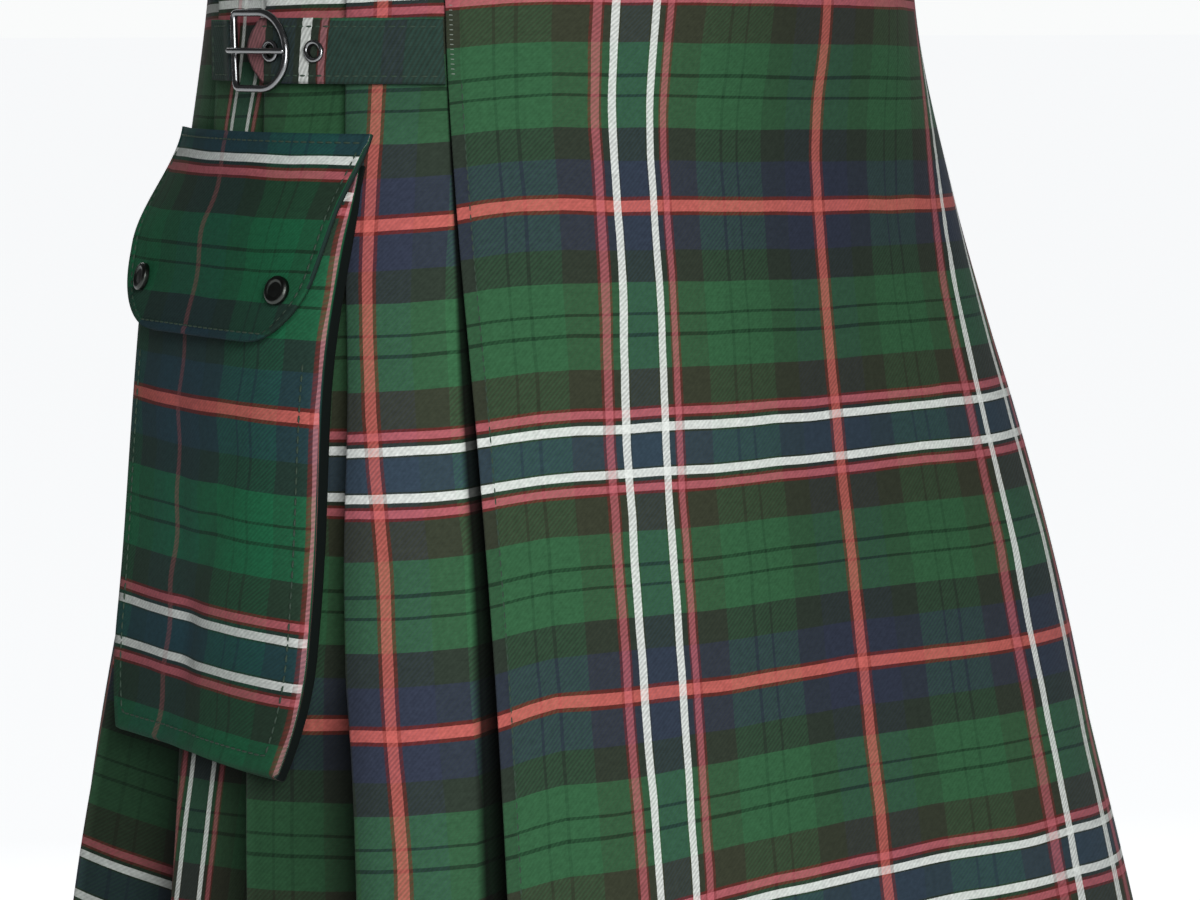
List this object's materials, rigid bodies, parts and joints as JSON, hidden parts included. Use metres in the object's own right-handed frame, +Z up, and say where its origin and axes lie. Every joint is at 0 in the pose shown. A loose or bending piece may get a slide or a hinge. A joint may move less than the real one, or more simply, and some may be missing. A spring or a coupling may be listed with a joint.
{
  "type": "scottish kilt",
  "caption": "Worn wrap kilt in a traditional tartan, with a flat front apron, knife pleats round the back, a buckled waist strap and a flapped hip pocket.",
  "frame": {"origin": "on the body's axis at the centre of the waist opening, half-way up the waistband", "axes": "+Z up, -Y to the wearer's front, +X to the wearer's left"},
  "size_m": [0.4395, 0.402, 0.6102],
  "materials": {
    "tartan": "matt twill woven in a green, blue and black tartan with white and red lines",
    "tartan_pocket": "the same tartan twill, in shade",
    "tartan_strap": "the same tartan twill, doubled and stitched",
    "nickel": "polished nickel plate",
    "snap_metal": "black nickel plate, glossy"
  },
  "bodies": {
    "root": {"waistband": "tartan", "apron_outer": "tartan", "apron_under": "tartan", "skirt_pleated": "tartan", "strap": "tartan_strap", "buckle_tab": "tartan_strap", "buckle_frame": "nickel", "buckle_prong": "nickel", "eyelet_near_buckle": "nickel", "eyelet_near_apron": "nickel", "pocket_bag": "tartan_pocket", "pocket_flap": "tartan_pocket", "snap_front": "snap_metal", "snap_back": "snap_metal"}
  },
  "joints": []
}
